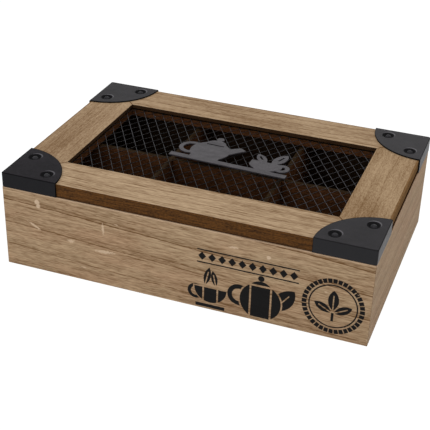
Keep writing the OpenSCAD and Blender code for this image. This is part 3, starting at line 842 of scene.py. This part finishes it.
def lay_floor():
    """A white sheet that keeps the box's shadow."""
    mesh = bmesh.new()
    bmesh.ops.create_grid(mesh, x_segments=1, y_segments=1, size=FLOOR_SIZE / 2)
    data = bpy.data.meshes.new("floor")
    mesh.to_mesh(data)
    mesh.free()
    floor = bpy.data.objects.new("floor", data)
    paint = Paint("white paper")
    material = paint.finish(base_color=PAPER, roughness=0.9, gloss=0.0)
    glow = paint.node("ShaderNodeEmission", {}, {"Color": opaque(WHITE), "Strength": FLOOR_GLOW})
    seen = paint.rays("Is Camera Ray", "Is Glossy Ray", "Is Transmission Ray")
    paint.cover(seen * (1 - FLOOR_SHADE), glow)
    data.materials.append(material)
    bpy.context.scene.collection.objects.link(floor)


def light_room():
    """A white sky that looks brighter than the light it gives, and two softboxes."""
    world = bpy.data.worlds.new("studio")
    bpy.context.scene.world = world
    world.use_nodes = True
    sky = Nodes(world.node_tree)
    seen = sky.rays("Is Camera Ray", "Is Glossy Ray")
    background = sky.tree.nodes["Background"].inputs
    sky.plug(background["Strength"], seen * (1 - SKY_LIGHT) + SKY_LIGHT)
    sky.plug(background["Color"], opaque(WHITE))
    add_softbox("overhead softbox", (0.0, 0.0, 1.3), size=0.9, power=6.0)
    add_softbox("front softbox", (-0.5, -1.5, 0.7), size=0.8, power=5.0)


def add_softbox(name, place, size, power):
    lamp = bpy.data.lights.new(name, "AREA")
    lamp.size = size
    lamp.energy = power
    softbox = bpy.data.objects.new(name, lamp)
    softbox.location = place
    softbox.rotation_euler = (-Vector(place)).to_track_quat("-Z", "Y").to_euler()
    bpy.context.scene.collection.objects.link(softbox)


def place_camera():
    camera = bpy.data.objects.new("camera", bpy.data.cameras.new("camera"))
    camera.data.sensor_width = SENSOR_WIDTH
    camera.data.lens = CAMERA_LENS
    camera.data.clip_start = 0.01
    camera.matrix_world = (Matrix.Translation(CAMERA_AIM)
                           @ Matrix.Rotation(CAMERA_AZIMUTH, 4, "Z")
                           @ Matrix.Rotation(math.pi / 2 - CAMERA_ELEVATION, 4, "X")
                           @ Matrix.Rotation(CAMERA_ROLL, 4, "Z")
                           @ Matrix.Translation((0, 0, CAMERA_DISTANCE)))
    bpy.context.scene.collection.objects.link(camera)
    bpy.context.scene.camera = camera


def dress_box():
    keep_node("front_panel", wall_wood("front board", "X", 1.3, printed=True), BOARD_EASE)
    keep_node("back_panel", wall_wood("back board", "X", 4.7), BOARD_EASE)
    keep_node("left_panel", wall_wood("left board", "Y", 7.9, SIDE_BOARD_FIGURE), BOARD_EASE)
    # tone darkens the right board as painted shade on that side
    right_wood = wall_wood("right board", "Y", 11.1, SIDE_BOARD_FIGURE, tone=0.06, shade_spread=0.5)
    keep_node("right_panel", right_wood, BOARD_EASE)
    keep_node("base_panel", stained_wood("bottom board", "X", "Z", 2.2), DIVIDER_EASE)
    keep_node("long_divider", stained_wood("long divider", "X", "Y", 3.1), DIVIDER_EASE)
    cross = stained_wood("cross dividers", "Y", "X", 5.1)
    keep_node("left_divider", cross, DIVIDER_EASE)
    keep_node("right_divider", cross, DIVIDER_EASE)


def dress_rails():
    front_wood = veneer("front rail", "X", 21.0, 0.0, FRONT_RAIL_FIGURE, FRONT_EDGE)
    back_wood = veneer("back rail", "X", 24.0, 0.05, BACK_RAIL_FIGURE, SIDE_EDGE)
    left_wood = veneer("left rail", "Y", 27.0, 0.13, LEFT_RAIL_FIGURE, SIDE_EDGE)
    right_wood = veneer("right rail", "Y", 30.0, 0.12, RIGHT_RAIL_FIGURE, RIGHT_EDGE, gloss=0.0)
    keep_node("lid_front_rail", front_wood, BOARD_EASE)
    keep_node("lid_back_rail", back_wood, BOARD_EASE)
    keep_node("lid_left_rail", left_wood, BOARD_EASE)
    keep_node("lid_right_rail", right_wood, BOARD_EASE)


def dress_mesh():
    strip = stained_wood("strips along x", "X", "Z", 8.0)
    keep_node("mesh_front_strip", strip, STRIP_EASE)
    keep_node("mesh_back_strip", strip, STRIP_EASE)
    strip = stained_wood("strips along y", "Y", "Z", 9.0)
    keep_node("mesh_left_strip", strip, STRIP_EASE)
    keep_node("mesh_right_strip", strip, STRIP_EASE)
    # one wire direction painted darker, the other lighter: painted shade and light
    painted_shade = plated_steel("dull wire", 0.42, *SHADED_WIRE)
    bright = plated_steel("bright wire", 0.38, *LIT_WIRE)
    weave("woven_rising_wires", "mesh_rising_wires", "mesh_falling_wires", WIRE_ANGLE, 0, painted_shade)
    weave("woven_falling_wires", "mesh_falling_wires", "mesh_rising_wires", -WIRE_ANGLE, 1, bright)
    badge = SatinPaint("badge grey", BADGE_GREY, roughness=0.42, waviness=0.5, gloss=0.25)
    keep_node("badge_plate", badge.painted(), BADGE_EASE)


def dress_brackets():
    for corner, right, back, level, gloss in CORNERS:
        paint = bracket_black(corner + "_black", level, gloss)
        make_bracket(corner + "_bracket", right, back, paint)
    nails = SatinPaint("nail black", NAIL_BLACK, roughness=0.5, waviness=0.0, gloss=0.15,
                       dents=0.5)
    keep_node("bracket_nails", nails.painted(), smooth=True)


def dress_hinges():
    steel = plated_steel("zinc plate", 0.36, ZINC)
    for side in ("left", "right"):
        for piece in ("body_leaf", "lid_leaf", "pin"):
            keep_node(side + "_hinge_" + piece, steel, smooth=True)
    for fixings in ("hinge_body_screws", "hinge_lid_screws", "base_brads", "mesh_strip_brads"):
        keep_node(fixings, steel, smooth=True)


bpy.context.scene.view_settings.view_transform = "Standard"
place_camera()
light_room()
lay_floor()
dress_box()
dress_rails()
dress_mesh()
dress_brackets()
dress_hinges()
